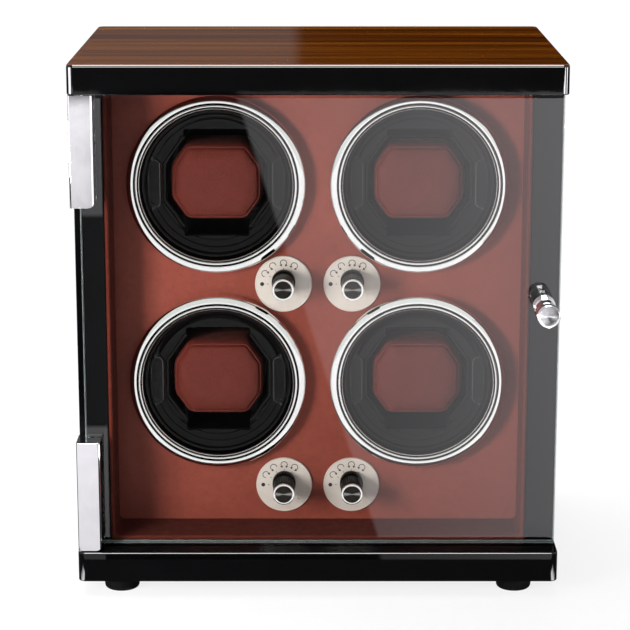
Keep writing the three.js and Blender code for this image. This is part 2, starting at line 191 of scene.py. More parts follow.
def make_veneer():
    n = Nodes("wood_veneer")
    wander = n.noise(5.0, 3, 0.5, coord=n.scaled((1.0, 1.0, 1.0)), out="Color")
    shift = n.node("ShaderNodeVectorMath", operation="MULTIPLY_ADD")
    n.link(wander, shift.inputs[0])
    shift.inputs[1].default_value = (0.0, 0.010, 0.0)
    n.link(n.coord, shift.inputs[2])
    base = shift.outputs[0]
    broad = n.noise(1.0, 4, 0.55, coord=n.scaled((1.6, 34.0, 20.0), base))
    streak = n.noise(1.0, 5, 0.62, coord=n.scaled((3.2, 105.0, 60.0), base, location=(3.1, 0.7, 0.2)))
    line = n.noise(1.0, 3, 0.6, coord=n.scaled((7.0, 620.0, 200.0), base, location=(1.7, 5.1, 0.0)))
    pores = n.noise(1.0, 2, 0.7, coord=n.scaled((160.0, 2600.0, 900.0), base))
    figure = n.math("ADD", n.math("MULTIPLY", broad, 0.52), n.math("MULTIPLY", streak, 0.48))
    colour = n.ramp(
        n.range(figure, 0.0, 1.0, 0.30, 0.68),
        [(0.0, (0.026, 0.0055, 0.0004)), (0.26, (0.072, 0.0160, 0.0006)), (0.48, (0.140, 0.0320, 0.0007)), (0.70, (0.245, 0.0660, 0.0018)), (1.0, (0.36, 0.112, 0.0045))],
    )
    colour = n.mix(n.range(line, 0.0, 0.42, 0.42, 0.72), colour, (0.030, 0.0085, 0.0022), "MIX")
    colour = n.mix(n.range(pores, 0.0, 0.30, 0.56, 0.80), colour, (0.010, 0.0032, 0.0012), "MIX")
    rough = n.range(figure, 0.22, 0.36, 0.3, 0.7)
    s = n.principled(**{"Base Color": colour, "Roughness": rough, "IOR": 1.5, "Coat Weight": 1.0, "Coat Roughness": 0.03, "Coat IOR": 1.5, "Specular IOR Level": 0.03})
    n.link(n.bump(line, 0.05, 0.0002), s.inputs["Normal"])
    peel = n.noise(230, 2, 0.4)
    n.link(n.bump(peel, 0.03, 0.0002), s.inputs["Coat Normal"])
    return n.finish(s)


def make_leather(name, light, dark, grain=1150.0, strength=0.35, spec=0.30):
    n = Nodes(name)
    cloud = n.noise(16, 4, 0.55)
    mottled = n.noise(240, 3, 0.6)
    cells = n.voronoi(grain, "DISTANCE_TO_EDGE")
    crease = n.range(cells, 0.0, 1.0, 0.0, 0.16)
    colour = n.mix(n.range(cloud, 0.0, 1.0, 0.3, 0.7), dark, light)
    colour = n.mix(n.range(mottled, 0.0, 0.22, 0.4, 0.75), colour, tuple(c * 0.55 for c in dark))
    colour = n.mix(n.range(crease, 0.35, 0.0), colour, tuple(c * 0.45 for c in dark))
    rough = n.math("ADD", n.range(mottled, 0.38, 0.54, 0.3, 0.7), n.range(crease, 0.06, 0.0))
    s = n.principled(**{"Base Color": colour, "Roughness": rough, "IOR": 1.47, "Specular IOR Level": spec, "Sheen Weight": 0.04, "Sheen Roughness": 0.4})
    s.inputs["Sheen Tint"].default_value = (1.0, 0.75, 0.65, 1)
    b = n.bump(crease, strength, 0.00018)
    b = n.bump(mottled, 0.12, 0.0004, b)
    n.link(b, s.inputs["Normal"])
    return n.finish(s)


def make_chrome(name="chrome", tone=(0.86, 0.86, 0.88), lo=0.025, hi=0.075):
    n = Nodes(name)
    smear = n.noise(55, 4, 0.6, distortion=0.4)
    hair = n.noise(1.0, 2, 0.6, coord=n.scaled((900, 900, 120)))
    colour = n.mix(n.range(smear, 0.0, 1.0, 0.35, 0.7), tone, tuple(c * 0.93 for c in tone))
    rough = n.math("ADD", n.range(smear, lo, hi, 0.3, 0.72), n.range(hair, 0.0, 0.015))
    s = n.principled(**{"Base Color": colour, "Metallic": 1.0, "Roughness": rough})
    n.link(n.bump(smear, 0.015, 0.0003), s.inputs["Normal"])
    return n.finish(s)


def make_satin(name, tone, rough=(0.2, 0.34), stretch=(700, 60, 700)):
    """Machined or plated metal with a drawn grain."""
    n = Nodes(name)
    drawn = n.noise(1.0, 3, 0.6, coord=n.scaled(stretch))
    cloud = n.noise(60, 4, 0.6)
    colour = n.mix(n.range(cloud, 0.0, 1.0, 0.3, 0.75), tone, tuple(c * 0.78 for c in tone))
    r = n.math("ADD", n.range(drawn, rough[0], rough[1], 0.3, 0.7), n.range(cloud, 0.0, 0.05))
    s = n.principled(**{"Base Color": colour, "Metallic": 1.0, "Roughness": r})
    n.link(n.bump(drawn, 0.06, 0.0001), s.inputs["Normal"])
    return n.finish(s)


def make_gloss_plastic(name="black_gloss_plastic", tone=(0.0022, 0.0021, 0.0020), spec=0.16):
    n = Nodes(name)
    cloud = n.noise(70, 4, 0.6)
    flow = n.noise(420, 2, 0.5)
    colour = n.mix(n.range(cloud, 0.0, 1.0, 0.35, 0.7), tone, tuple(c * 1.7 for c in tone))
    rough = n.math("ADD", n.range(cloud, 0.07, 0.15, 0.3, 0.72), n.range(flow, 0.0, 0.03))
    s = n.principled(**{"Base Color": colour, "Roughness": rough, "IOR": 1.49, "Specular IOR Level": spec})
    n.link(n.bump(flow, 0.03, 0.0002), s.inputs["Normal"])
    return n.finish(s)


def make_matte(name, tone, rough=(0.5, 0.7), scale=900.0, strength=0.2, spec=0.4):
    n = Nodes(name)
    cloud = n.noise(50, 4, 0.6)
    grit = n.noise(scale, 3, 0.6)
    colour = n.mix(n.range(cloud, 0.0, 1.0, 0.3, 0.75), tone, tuple(c * 1.5 for c in tone))
    r = n.range(grit, rough[0], rough[1], 0.3, 0.7)
    s = n.principled(**{"Base Color": colour, "Roughness": r, "Specular IOR Level": spec})
    n.link(n.bump(grit, strength, 0.0002), s.inputs["Normal"])
    return n.finish(s)


def make_plate():
    n = Nodes("dial_plate")
    speck = n.noise(1500, 3, 0.7)
    cloud = n.noise(90, 4, 0.6)
    drawn = n.noise(1.0, 3, 0.6, coord=n.scaled((120, 900, 1500)))
    colour = n.mix(n.range(cloud, 0.0, 1.0, 0.3, 0.75), (0.80, 0.69, 0.62), (0.73, 0.62, 0.55))
    colour = n.mix(n.range(speck, 0.0, 0.30, 0.5, 0.78), colour, (0.52, 0.43, 0.38))
    rough = n.math("ADD", n.range(drawn, 0.30, 0.44, 0.3, 0.7), n.range(speck, 0.0, 0.06))
    s = n.principled(**{"Base Color": colour, "Metallic": 0.12, "Roughness": rough})
    n.link(n.bump(drawn, 0.05, 0.0001), s.inputs["Normal"])
    return n.finish(s)


def make_spun(name, tone, rough=0.30, metallic=1.0, streak=None):
    """A face turned on a lathe: fine rings about the object's own Y axis. With streak, a horizontal bow-tie highlight
    is painted into its colour.
    """
    n = Nodes(name)
    flat = n.node("ShaderNodeVectorMath", operation="MULTIPLY")
    n.link(n.coord, flat.inputs[0])
    flat.inputs[1].default_value = (1, 0, 1)
    length = n.node("ShaderNodeVectorMath", operation="LENGTH")
    n.link(flat.outputs[0], length.inputs[0])
    rings = n.noise(5200, 2, 0.6, coord=length.outputs["Value"])
    colour = n.mix(n.range(rings, 0.0, 1.0, 0.3, 0.7), tone, tuple(c * 0.72 for c in tone))
    if streak:
        # painted highlight: a lighter horizontal bow-tie across the face, in the streak colour
        parts = n.node("ShaderNodeSeparateXYZ")
        n.link(n.coord, parts.inputs[0])
        painted_highlight_wedge = n.math("DIVIDE", n.math("ABSOLUTE", parts.outputs["Z"]), n.math("ADD", n.math("ABSOLUTE", parts.outputs["X"]), 0.0012))
        colour = n.mix(n.range(painted_highlight_wedge, 1.0, 0.0, 0.02, 0.26), colour, streak)
    tangent = n.node("ShaderNodeTangent", direction_type="RADIAL", axis="Y")
    r = n.range(rings, rough - 0.05, rough + 0.05, 0.3, 0.7)
    s = n.principled(**{"Base Color": colour, "Metallic": metallic, "Roughness": r, "Anisotropic": 0.85})
    n.link(tangent.outputs[0], s.inputs["Tangent"])
    n.link(n.bump(rings, 0.10, 0.00003), s.inputs["Normal"])
    return n.finish(s)


def make_glass():
    """Clear float glass: the pane lets light straight through and mirrors a little, and its ground edges glow pale green."""
    n = Nodes("door_glass")
    smear = n.noise(30, 4, 0.6, distortion=0.5)
    tint = n.mix(n.range(smear, 0.0, 1.0, 0.3, 0.75), (0.975, 0.985, 0.982), (0.965, 0.978, 0.974))
    through = n.node("ShaderNodeBsdfTransparent")
    n.link(tint, through.inputs[0])
    mirror = n.node("ShaderNodeBsdfGlossy")
    mirror.inputs["Color"].default_value = (1, 1, 1, 1)
    mirror.inputs["Roughness"].default_value = 0.0
    fresnel = n.node("ShaderNodeFresnel")
    fresnel.inputs["IOR"].default_value = 1.5
    geo = n.node("ShaderNodeNewGeometry")
    front = n.math("SUBTRACT", 1.0, geo.outputs["Backfacing"])
    fac = n.math("MULTIPLY", n.math("ADD", fresnel.outputs[0], 0.034), front)
    pane = n.node("ShaderNodeMixShader")
    n.link(fac, pane.inputs[0])
    n.link(through.outputs[0], pane.inputs[1])
    n.link(mirror.outputs[0], pane.inputs[2])
    ground = n.noise(1800, 2, 0.6)
    rim = n.principled(**{"Base Color": (0.46, 0.53, 0.52), "Roughness": n.range(ground, 0.16, 0.30), "IOR": 1.5, "Alpha": 0.42})
    n.link(n.bump(ground, 0.08, 0.0001), rim.inputs["Normal"])
    own = n.node("ShaderNodeVectorTransform", vector_type="NORMAL", convert_from="WORLD", convert_to="OBJECT")
    n.link(geo.outputs["True Normal"], own.inputs[0])
    sep = n.node("ShaderNodeSeparateXYZ")
    n.link(own.outputs[0], sep.inputs[0])
    side = n.math("LESS_THAN", n.math("ABSOLUTE", sep.outputs["Y"]), 0.9)
    mix = n.node("ShaderNodeMixShader")
    n.link(side, mix.inputs[0])
    n.link(pane.outputs[0], mix.inputs[1])
    n.link(rim.outputs[0], mix.inputs[2])
    return n.finish(mix.outputs[0])


def make_board():
    n = Nodes("circuit_board")
    traces = n.voronoi(520, "DISTANCE_TO_EDGE", randomness=0.35)
    cloud = n.noise(120, 3, 0.6)
    colour = n.mix(n.range(traces, 1.0, 0.0, 0.05, 0.09), (0.008, 0.075, 0.026), (0.02, 0.16, 0.05))
    colour = n.mix(n.range(cloud, 0.0, 0.4, 0.4, 0.8), colour, (0.006, 0.05, 0.02))
    s = n.principled(**{"Base Color": colour, "Roughness": n.range(cloud, 0.28, 0.42, 0.3, 0.7), "Specular IOR Level": 0.5})
    n.link(n.bump(traces, 0.15, 0.0001), s.inputs["Normal"])
    return n.finish(s)


lacquer = make_lacquer()
dull_lacquer = make_gloss_plastic("dull_lacquer", (0.0012, 0.0012, 0.0013), 0.012)
veneer = make_veneer()
panel_leather = make_leather("brown_leather", (0.330, 0.072, 0.048), (0.280, 0.058, 0.038))
# darker copies of the panel leather for the recess: painted shade, less dark on the front lip and darkest on the inner
# walls
painted_shade_lip_leather = make_leather("painted_shade_lip_leather", (0.150, 0.027, 0.017), (0.120, 0.021, 0.013), spec=0.10)
painted_shade_lining_leather = make_leather("painted_shade_lining_leather", (0.115, 0.0145, 0.0085), (0.095, 0.0115, 0.0065), spec=0.02)
cushion_leather = make_leather("cushion_leather", (0.165, 0.028, 0.019), (0.128, 0.021, 0.014), grain=900.0, strength=0.5)
chrome = make_chrome()
clamp_metal = make_chrome("clamp_chrome", (0.93, 0.93, 0.945), 0.035, 0.06)
ring_chrome = make_chrome("ring_chrome", (0.97, 0.945, 0.925), 0.03, 0.07)
black_gloss = make_gloss_plastic()
# glossier black for the clip edges; its lighter tone is a painted highlight
clip_edge_painted_highlight = make_gloss_plastic("clip_edge_painted_highlight", (0.010, 0.010, 0.009), 0.95)
knob_black = make_gloss_plastic("knob_black", (0.0014, 0.0012, 0.0010), 0.012)
# both turned faces carry a painted horizontal highlight through streak
knob_face = make_spun("knob_face", (0.030, 0.026, 0.022), 0.24, streak=(0.34, 0.32, 0.30))
knob_end = make_spun("door_knob_face", (0.52, 0.52, 0.53), 0.26, streak=(0.80, 0.80, 0.81))
plate_metal = make_plate()
ink = make_matte("dial_ink", (0.020, 0.016, 0.013), (0.4, 0.6), 2000.0, 0.05)
rubber = make_matte("rubber", (0.0042, 0.0042, 0.0042), (0.55, 0.78), 1400.0, 0.35, 0.18)
belt = make_matte("belt_rubber", (0.010, 0.010, 0.010), (0.5, 0.7), 1800.0, 0.25)
steel = make_satin("steel", (0.56, 0.56, 0.57))
bronze = make_satin("bronze_bush", (0.56, 0.36, 0.15), (0.3, 0.45), (800, 800, 800))
mdf = make_matte("mdf", (0.014, 0.0125, 0.0115), (0.62, 0.85), 700.0, 0.5, 0.3)
pcb = make_board()
plastic = make_matte("black_plastic", (0.012, 0.012, 0.013), (0.36, 0.52), 1600.0, 0.2, 0.5)
glass = make_glass()


# ------------------------------------------------------------------ mesh helpers
def mesh_object(name, bm, material, smooth=30, location=(0, 0, 0)):
    bmesh.ops.recalc_face_normals(bm, faces=bm.faces)
    me = bpy.data.meshes.new(name)
    bm.to_mesh(me)
    bm.free()
    return finish_object(name, me, material, smooth, location)


def finish_object(name, me, material, smooth=30, location=(0, 0, 0)):
    if smooth:
        me.shade_smooth()
        me.set_sharp_from_angle(angle=math.radians(smooth))
    ob = bpy.data.objects.new(name, me)
    scene.collection.objects.link(ob)
    for m in material if isinstance(material, (list, tuple)) else [material]:
        me.materials.append(m)
    ob.location = location
    return ob


def lathe(bm, profile, segs, centre=(0, 0), axis="Y", closed=False, mat_index=None, offset=0.0, wave=None):
    """Turns [radius, height] pairs, in millimetres, about the axis through centre. wave(i, radius, height) may alter the radius."""
    rings = []
    for j, (r, h) in enumerate(profile):
        if r <= 1e-6:
            co = (centre[0], h, centre[1]) if axis == "Y" else (centre[0], centre[1], h)
            rings.append([bm.verts.new([c * MM for c in co])])
            continue
        ring = []
        for i in range(segs):
            a = 2 * math.pi * i / segs + offset
            rr = wave(i, r, h) if wave else r
            u, v = rr * math.cos(a), rr * math.sin(a)
            co = (centre[0] + u, h, centre[1] + v) if axis == "Y" else (centre[0] + u, centre[1] + v, h)
            ring.append(bm.verts.new([c * MM for c in co]))
        rings.append(ring)
    pairs = list(zip(rings, rings[1:]))
    if closed:
        pairs.append((rings[-1], rings[0]))
    faces = []
    for k, (a, b) in enumerate(pairs):
        for i in range(segs):
            j = (i + 1) % segs
            if len(a) == 1 and len(b) == 1:
                continue
            if len(a) == 1:
                f = bm.faces.new((a[0], b[j], b[i]))
            elif len(b) == 1:
                f = bm.faces.new((a[i], a[j], b[0]))
            else:
                f = bm.faces.new((a[i], a[j], b[j], b[i]))
            if mat_index:
                f.material_index = mat_index(k)
            faces.append(f)
    return faces


def arc(cx, cy, r, a0, a1, n):
    """Points of an arc, angles in degrees."""
    return [(cx + r * math.cos(math.radians(a0 + (a1 - a0) * i / n)), cy + r * math.sin(math.radians(a0 + (a1 - a0) * i / n))) for i in range(n + 1)]


def rounded_outline(x0, x1, y0, y1, radii, steps=8):
    """Counter-clockwise outline with a radius for each corner: lower left, lower right, upper right, upper left."""
    out = []
    for cx, cy, r, start in ((x0, y0, radii[0], 180), (x1, y0, radii[1], 270), (x1, y1, radii[2], 0), (x0, y1, radii[3], 90)):
        r = max(r, 0.02)
        mx = cx + (r if cx == x0 else -r)
        my = cy + (r if cy == y0 else -r)
        out += arc(mx, my, r, start, start + 90, steps)
    return out


def stack(bm, rings, plane="Z", mat_index=None):
    """Joins outlines of equal length into a closed solid. rings: (points, height), lowest first. plane is the axis of the height."""
    made = []
    for pts, h in rings:
        if plane == "Z":
            made.append([bm.verts.new((x * MM, y * MM, h * MM)) for x, y in pts])
        elif plane == "Y":
            made.append([bm.verts.new((x * MM, h * MM, y * MM)) for x, y in pts])
        else:
            made.append([bm.verts.new((h * MM, x * MM, y * MM)) for x, y in pts])
    n = len(made[0])
    for k, (a, b) in enumerate(zip(made, made[1:])):
        for i in range(n):
            f = bm.faces.new((a[i], a[(i + 1) % n], b[(i + 1) % n], b[i]))
            if mat_index:
                f.material_index = mat_index(k)
    bm.faces.new(list(reversed(made[0])))
    bm.faces.new(made[-1])


def soft_slab(bm, x0, x1, y0, y1, z0, z1, corner, edge, steps=8, edge_steps=4, bottom_edge=None):
    """A slab with rounded vertical corners and rolled top and bottom edges."""
    rings = []
    be = edge if bottom_edge is None else bottom_edge

    def ring(d, h):
        rings.append((rounded_outline(x0 + d, x1 - d, y0 + d, y1 - d, [max(corner - d, 0.05)] * 4, steps), h))

    for i in range(edge_steps + 1):
        a = math.pi / 2 * i / edge_steps
        ring(be * (1 - math.sin(a)), z0 + be * (1 - math.cos(a)))
    for i in range(edge_steps + 1):
        a = math.pi / 2 * i / edge_steps
        ring(edge * (1 - math.cos(a)), z1 - edge * (1 - math.sin(a)))
    stack(bm, rings)


def boolean(ob, cutter, operation="DIFFERENCE"):
    m = ob.modifiers.new("cut", "BOOLEAN")
    m.object = cutter
    m.operation = operation
    m.solver = "EXACT"
    bpy.context.view_layer.update()
    made = bpy.data.meshes.new_from_object(ob.evaluated_get(bpy.context.evaluated_depsgraph_get()))
    ob.modifiers.clear()
    ob.data = made
    bpy.data.objects.remove(cutter)
    return ob


def edge_break(node, width, segments=2, angle=35):
    """Breaks the sharp edges of a CAD node with modifiers, so its mesh is untouched."""
    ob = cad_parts[node]
    w = ob.modifiers.new("weld", "WELD")
    w.merge_threshold = 0.00001
    b = ob.modifiers.new("edge", "BEVEL")
    b.width = width * MM
    b.segments = segments
    b.limit_method = "ANGLE"
    b.angle_limit = math.radians(angle)
    b.harden_normals = True
    return ob


def even_normals(ob):
    """Large flat faces keep their own normals beside small rounded edges."""
    m = ob.modifiers.new("even", "WEIGHTED_NORMAL")
    m.mode = "FACE_AREA_WITH_ANGLE"
    m.weight = 90
    m.keep_sharp = True
    return ob


def paint(node, material):
    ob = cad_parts[node]
    ob.data.materials.clear()
    ob.data.materials.append(material)
    return ob


WINDOW = (28.0, 10.0, 18.2, 23.9)  # half width, side corner height, top corner half width, half height
CUSHION = (27.4, 9.7, 17.8, 23.3)


def eight_sided(size, inset=0.0):
    """Outline of the window or the cushion, moved in by inset: its eight corners, counter-clockwise from the lower right."""
    w, sz, tx, h = size
    lean = math.hypot(w - tx, h - sz)
    nx, nz = (h - sz) / lean, (w - tx) / lean  # outward normal of the slanted side
    c = nx * w + nz * sz - inset
    w2, h2 = w - inset, h - inset
    sz2 = (c - nx * w2) / nz
    tx2 = (c - nz * h2) / nx
    return [(w2, -sz2), (w2, sz2), (tx2, h2), (-tx2, h2), (-w2, sz2), (-w2, -sz2), (-tx2, -h2), (tx2, -h2)]


def depth_in(x, z, size):
    """How far a point lies inside the eight-sided outline, in millimetres."""
    w, sz, tx, h = size
    lean = math.hypot(w - tx, h - sz)
    nx, nz = (h - sz) / lean, (w - tx) / lean
    return min(w - abs(x), h - abs(z), nx * w + nz * sz - nx * abs(x) - nz * abs(z))


# ------------------------------------------------------------------ cabinet
def add(piece, body, slot, *nodes):
    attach(piece, body)
    if nodes:
        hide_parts(*nodes)
    return piece


bm = bmesh.new()
soft_slab(bm, -135, 135, OY, OY + 190, 8, 25, 4, 0.7)
bm.normal_update()
for f in bm.faces:
    f.material_index = 1 if f.normal.z > 0.97 else 0
add(even_normals(mesh_object("plinth_body", bm, [lacquer, dull_lacquer])), "cabinet", "black_lacquer", "base_plinth")

bm = bmesh.new()
soft_slab(bm, -135, 135, OY, OY + 190, 283.5, 298.9, 4, 0.5, bottom_edge=0.7)
add(even_normals(mesh_object("top_board_body", bm, lacquer)), "cabinet", "black_lacquer", "top_board")

bm = bmesh.new()
soft_slab(bm, -134.9, 134.9, OY + 0.1, OY + 189.9, 298.9, 300, 3.9, 1.0, bottom_edge=0.05)
bm.normal_update()
for f in bm.faces:
    f.material_index = 1 if f.normal.z < 0.60 else 0
add(even_normals(mesh_object("top_veneer_sheet", bm, [veneer, lacquer])), "cabinet", "wood_veneer", "top_veneer")

side_lacquer = make_lacquer("side_lacquer", dull_front=True)
for node in ("side_panel_left", "side_panel_right"):
    paint(node, side_lacquer)
    edge_break(node, 0.5)


def recess():
    """The leatherette lining: four walls with small inner corners and a rolled front lip. It wears darker copies of the
    panel leather as painted shade, darkest on the walls and less dark on the lip.
    """
    bm = bmesh.new()
    xo, zo0, zo1 = 118.0, 25.3, 283.2
    t = 2.4
    section = [(0.0, 53 - 0.3), (0.0, 23.0)]  # distance in from the outer face, depth
    section += [(t / 2 - t / 2 * math.cos(math.radians(a)), 22 + 1.2 - 1.2 * math.sin(math.radians(a))) for a in (0, 22, 45, 67, 90, 113, 135, 158, 180)]
    section += [(t, 24.0), (t, 40.0), (t, 53 - 0.3)]
    rings = []
    for d, y in section:
        pts = rounded_outline(-xo + d, xo - d, zo0 + d, zo1 - d, [0.3 + d * 1.15] * 4, 6)
        rings.append([bm.verts.new((x * MM, (OY + y) * MM, z * MM)) for x, z in pts])
    n = len(rings[0])
    for a, b in zip(rings, rings[1:] + rings[:1]):
        for i in range(n):
            bm.faces.new((a[i], a[(i + 1) % n], b[(i + 1) % n], b[i]))
    # painted shade: the lip faces take the less dark copy, the walls behind them the darkest
    for f in bm.faces:
        f.material_index = 1 if f.calc_center_median().y < (OY + 23.1) * MM else 0
    return mesh_object("recess_lining", bm, [painted_shade_lining_leather, painted_shade_lip_leather], 40)


add(recess(), "cabinet", "brown_leather", "recess_liner")
paint("rotor_panel", panel_leather)

paint("back_panel", mdf)
edge_break("back_panel", 0.4, 1)
paint("motor_board", mdf)
paint("power_socket", plastic)
paint("magnet_catch", steel)

for end, fy in (("front", 15), ("back", 172)):
    for side, s in (("left", -1), ("right", 1)):
        bm = bmesh.new()
        profile = [(0, 0.15), (3.0, 0.15), (3.4, 0), (7.9, 0)] + arc(7.9, 1.9, 1.9, -90, -10, 6) + [(10.05, 4.6), (10.3, 7.0), (10.4, 8.0), (0, 8.0)]
        lathe(bm, profile, 48, (s * 111.5, OY + fy), "Z")
        add(mesh_object(f"foot_pad_{end}_{side}", bm, rubber, 35), "cabinet", "rubber", f"foot_{end}_{side}")

# countersunk screws that hold the back panel
for i, (sx, sz) in enumerate([(-112, 31), (112, 31), (-112, 277), (112, 277), (-112, 154), (112, 154)]):
    bm = bmesh.new()
    lathe(bm, [(0, 188.15), (1.2, 188.15), (1.25, 188.3), (2.9, 188.3), (3.1, 188.1), (3.1, 187.6), (0, 187.6)], 24, (0, 0), "Y")
    ob = mesh_object(f"back_screw_{i + 1}", bm, steel, 30)
    bm = bmesh.new()
    for w, h in ((2.6, 0.55), (0.55, 2.6)):
        stack(bm, [([(-w, -h), (w, -h), (w, h), (-w, h)], 187.95), ([(-w, -h), (w, -h), (w, h), (-w, h)], 189.2)], "Y")
    boolean(ob, mesh_object("cross", bm, steel, 0))
    ob.location = (sx * MM, OY * MM, sz * MM)
    add(ob, "cabinet", "steel")


# ------------------------------------------------------------------ rotors
def bezel_mesh():
    """Three polished bands with two narrow black grooves between them, on a tube that lines the hole."""
    bm = bmesh.new()
    section = [(45.7, 58.0), (45.7, 52.8), (50.6, 52.8), (50.6, 47.2)]
    outer = [(50.52, 46.4), (50.3, 45.75), (49.95, 45.25), (49.45, 44.85), (48.9, 44.55), (48.3, 44.32), (47.7, 44.16), (47.1, 44.1), (46.7, 44.2), (46.4, 44.5)]
    groove = [(46.3, 45.5), (45.7, 45.6), (45.62, 44.9)]
    middle = [(45.5, 44.3), (45.2, 43.95), (44.85, 43.85), (44.5, 44.0), (44.25, 44.35)]
    groove2 = [(44.2, 45.5), (43.75, 45.6), (43.7, 45.2)]
    inner = [(43.6, 44.8), (43.35, 44.6), (43.1, 44.75), (42.95, 45.2), (42.9, 46.0), (42.9, 58.0)]
    black = []
    for part, dark in ((section, False), (outer, False), (groove, True), (middle, False), (groove2, True), (inner, False)):
        black += [dark] * len(part)
    points = section + outer + groove + middle + groove2 + inner
    lathe(bm, points, 160, (0, 0), "Y", closed=True, mat_index=lambda k: 1 if black[k] or black[(k + 1) % len(black)] else 0)
    bmesh.ops.recalc_face_normals(bm, faces=bm.faces)
    me = bpy.data.meshes.new("bezel")
    bm.to_mesh(me)
    bm.free()
    return me


def cup_mesh():
    """Front flange, stepped funnel, octagonal pocket with strap channels, side clips, belt groove and shaft."""
    bm = bmesh.new()
    front = [(0, 54.9), (32.4, 54.9), (32.8, 54.8), (33.0, 54.5), (33.15, 54.1), (33.5, 53.95), (36.0, 53.4), (36.3, 53.2), (36.45, 52.8), (36.7, 52.5)]
    front += [(39.2, 51.4), (39.8, 50.9), (40.2, 50.0), (40.45, 49.3), (40.85, 49.0), (41.4, 49.0), (41.8, 49.3), (41.9, 49.7)]
    back = [(41.9, 52.5), (39.1, 54), (39.1, 107.2), (38.3, 108), (24.4, 109), (24, 109.4), (24, 111.5), (22, 112.6), (22, 118.4), (24, 119.5), (24, 120.7), (23.7, 121), (4, 121), (4, 141.6), (3.6, 142), (0, 142)]
    lathe(bm, front + back, 128, (0, 0), "Y")
    ob = mesh_object("cup_raw", bm, black_gloss, 0)

    def cutter(rings):
        b = bmesh.new()
        stack(b, rings, "Y")
        return mesh_object("cut", b, black_gloss, 0)

    # side clips, added before the pocket is cut
    for s in (-1, 1):
        rings = []
        for d, y in ((0.0, 56.5), (0.0, 51.9), (0.12, 51.4), (0.4, 51.0), (0.85, 50.75), (1.5, 50.65)):
            rings.append(([(s * 35.1 + x, z) for x, z in rounded_outline(-3.95 + d, 3.95 - d, -14.2 + d, 14.2 - d, [max(3.6 - d, 0.1)] * 4, 8)], y))
        boolean(ob, cutter(rings), "UNION")
        slot = []
        for d, y in ((0.0, 49.0), (0.0, 50.9), (0.35, 51.25)):
            slot.append(([(s * 35.1 + x, z) for x, z in rounded_outline(-2.0 + d, 2.0 - d, -11.8 + d, 11.8 - d, [max(1.9 - d, 0.1)] * 4, 6)], y))
        boolean(ob, cutter(slot))
    # shallow octagonal step
    boolean(ob, cutter([(eight_sided(WINDOW, -2.6), 50), (eight_sided(WINDOW, -2.6), 55.3), (eight_sided(WINDOW, -2.0), 55.9), (eight_sided(WINDOW, -1.95), 56.4)]))
    # octagonal window with a chamfered rim
    boolean(ob, cutter([(eight_sided(WINDOW, -0.9), 50), (eight_sided(WINDOW, -0.9), 56.3), (eight_sided(WINDOW, 0.0), 57.2), (eight_sided(WINDOW, 0.0), 104)]))
    # strap channels above and below the window
    boolean(ob, cutter([(rounded_outline(-18.5, 18.5, -30.6, 30.6, [1.2] * 4, 3), 50), (rounded_outline(-18.5, 18.5, -30.6, 30.6, [1.2] * 4, 3), 55.7), (rounded_outline(-18, 18, -30.1, 30.1, [1.0] * 4, 3), 56.3), (rounded_outline(-18, 18, -30.1, 30.1, [1.0] * 4, 3), 104)]))
    me = ob.data
    bpy.data.objects.remove(ob)
    b = bmesh.new()
    b.from_mesh(me)
    bmesh.ops.remove_doubles(b, verts=b.verts, dist=0.00002)
    bmesh.ops.recalc_face_normals(b, faces=b.faces)
    b.to_mesh(me)
    b.free()
    # the rolled edges of the clips get a glossier black with a lighter tone: the gloss is real, the lighter tone is a
    # painted highlight
    me.materials.clear()
    for face in me.polygons:
        x, y, z = face.center / MM
        rolled = 31.0 < abs(x) < 39.0 and abs(z) < 14.3 and y < 51.9 and face.normal.y > -0.93
        face.material_index = 1 if rolled and math.hypot(x, z) < 39.0 else 0
    return me


def cushion_form():
    """The pad as cut and stuffed: an eight-sided block, a little smaller than its place, with a crowned face."""
    bm = bmesh.new()
    rings = []
    for inset, y in ((14.0, 99.8), (7.0, 99.0), (2.6, 95.5), (1.5, 88), (1.5, 62), (2.0, 57.6), (4.4, 54.4), (9.0, 52.8), (16.0, 52.1)):
        rings.append((eight_sided(CUSHION, inset), y))
    stack(bm, rings, "Y")
    bmesh.ops.triangulate(bm, faces=[f for f in bm.faces if len(f.verts) > 4])
    return mesh_object("cushion_raw", bm, cushion_leather, 0)


def inflate(ob, voxel, pressure, cap, frames=20):
    """Stuffs a closed form by cloth simulation and returns the settled mesh."""
    m = ob.modifiers.new("remesh", "REMESH")
    m.mode = "VOXEL"
    m.voxel_size = voxel
    bpy.context.view_layer.update()
    dense = bpy.data.meshes.new_from_object(ob.evaluated_get(bpy.context.evaluated_depsgraph_get()))
    ob.modifiers.clear()
    ob.data = dense
    start = [v.co.copy() for v in dense.vertices]
    c = ob.modifiers.new("cloth", "CLOTH")
    st = c.settings
    st.quality = 6
    st.mass = 0.25
    st.tension_stiffness = 12
    st.compression_stiffness = 12
    st.shear_stiffness = 6
    st.bending_stiffness = 0.6
    st.use_pressure = True
    st.uniform_pressure_force = pressure
    st.effector_weights.gravity = 0
    c.point_cache.frame_start = 1
    c.point_cache.frame_end = frames
    for f in range(1, frames + 1):
        scene.frame_set(f)
    settled = bpy.data.meshes.new_from_object(ob.evaluated_get(bpy.context.evaluated_depsgraph_get()))
    ob.modifiers.clear()
    for v, s in zip(settled.vertices, start):
        d = v.co - s
        if d.length > cap:
            v.co = s + d * (cap / d.length)
    ob.data = settled
    scene.frame_set(1)
    s = ob.modifiers.new("smooth", "SMOOTH")
    s.factor = 0.5
    s.iterations = 2
    s = ob.modifiers.new("fine", "SUBSURF")
    s.levels = s.render_levels = 1
    bpy.context.view_layer.update()
    me = bpy.data.meshes.new_from_object(ob.evaluated_get(bpy.context.evaluated_depsgraph_get()))
    bpy.data.objects.remove(ob)
    return me


